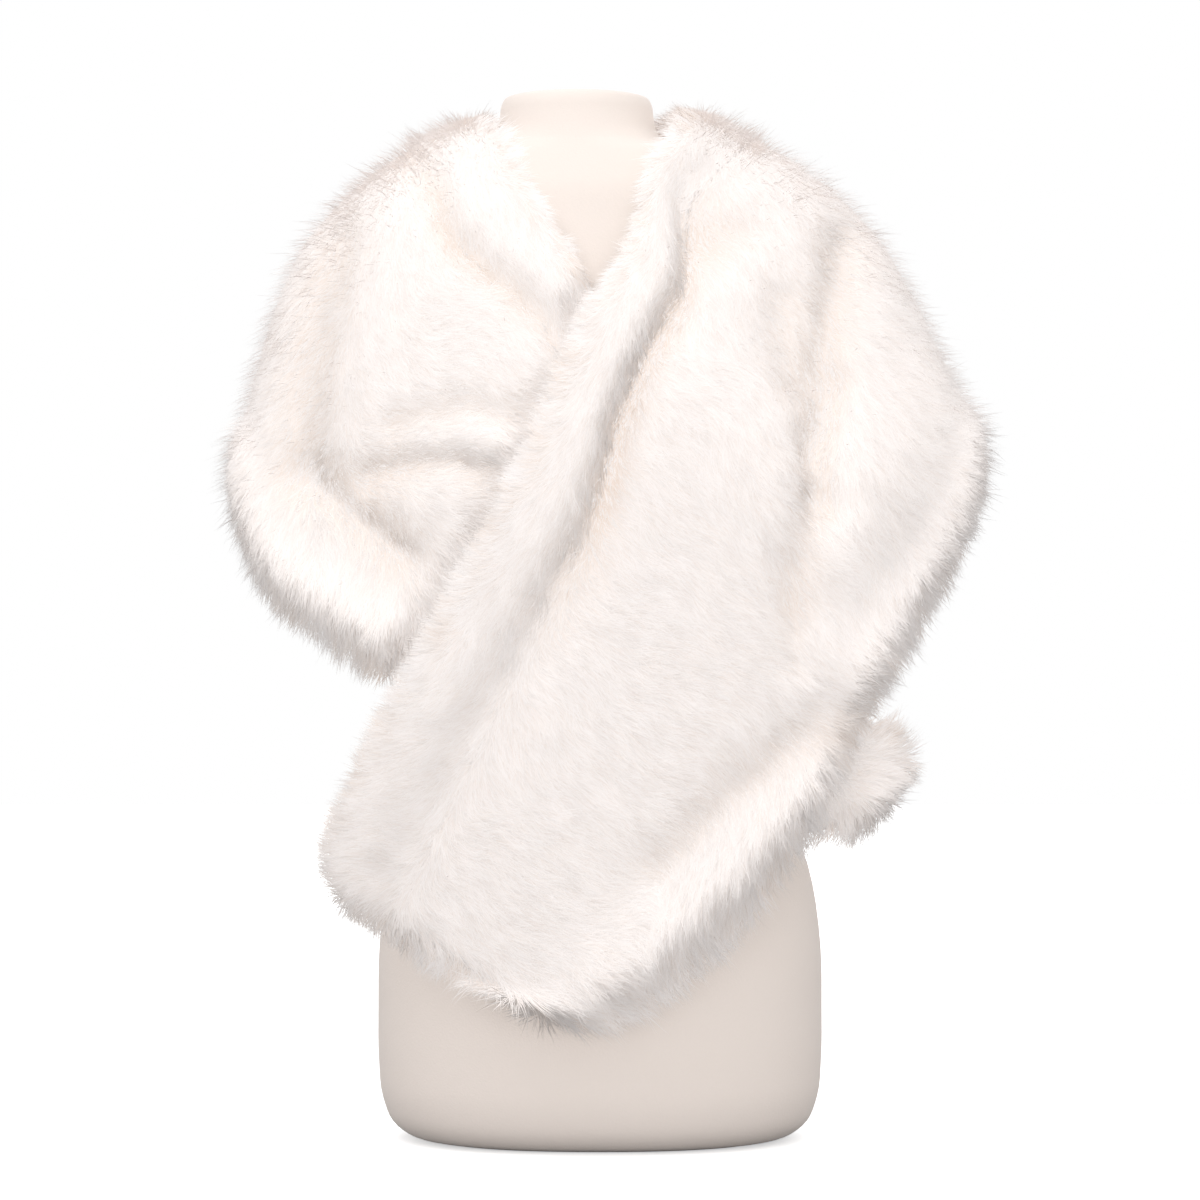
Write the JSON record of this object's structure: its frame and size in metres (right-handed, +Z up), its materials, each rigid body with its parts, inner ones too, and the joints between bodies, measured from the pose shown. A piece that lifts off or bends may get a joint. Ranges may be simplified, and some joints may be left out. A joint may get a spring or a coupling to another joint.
{
  "type": "fur poncho on a limbless dress form",
  "caption": "Cream artificial-fur wrap with a soft rolled collar, worn crossed over the chest on a limbless, jersey-covered dress form.",
  "frame": {"origin": "centre of the dress form's flat base", "axes": "+X to the viewer's right, across the shoulders; +Y away from the viewer, out of the form's back; +Z up"},
  "size_m": [0.58, 0.3241, 0.8025],
  "materials": {
    "fur": "cream artificial fur with a long soft pile",
    "jersey": "matt cream knitted jersey stretched over the form"
  },
  "bodies": {
    "root": {"back": "fur", "left_front": "fur", "right_front": "fur", "collar_left": "fur", "collar_right": "fur", "dress_form": "jersey"}
  },
  "joints": []
}
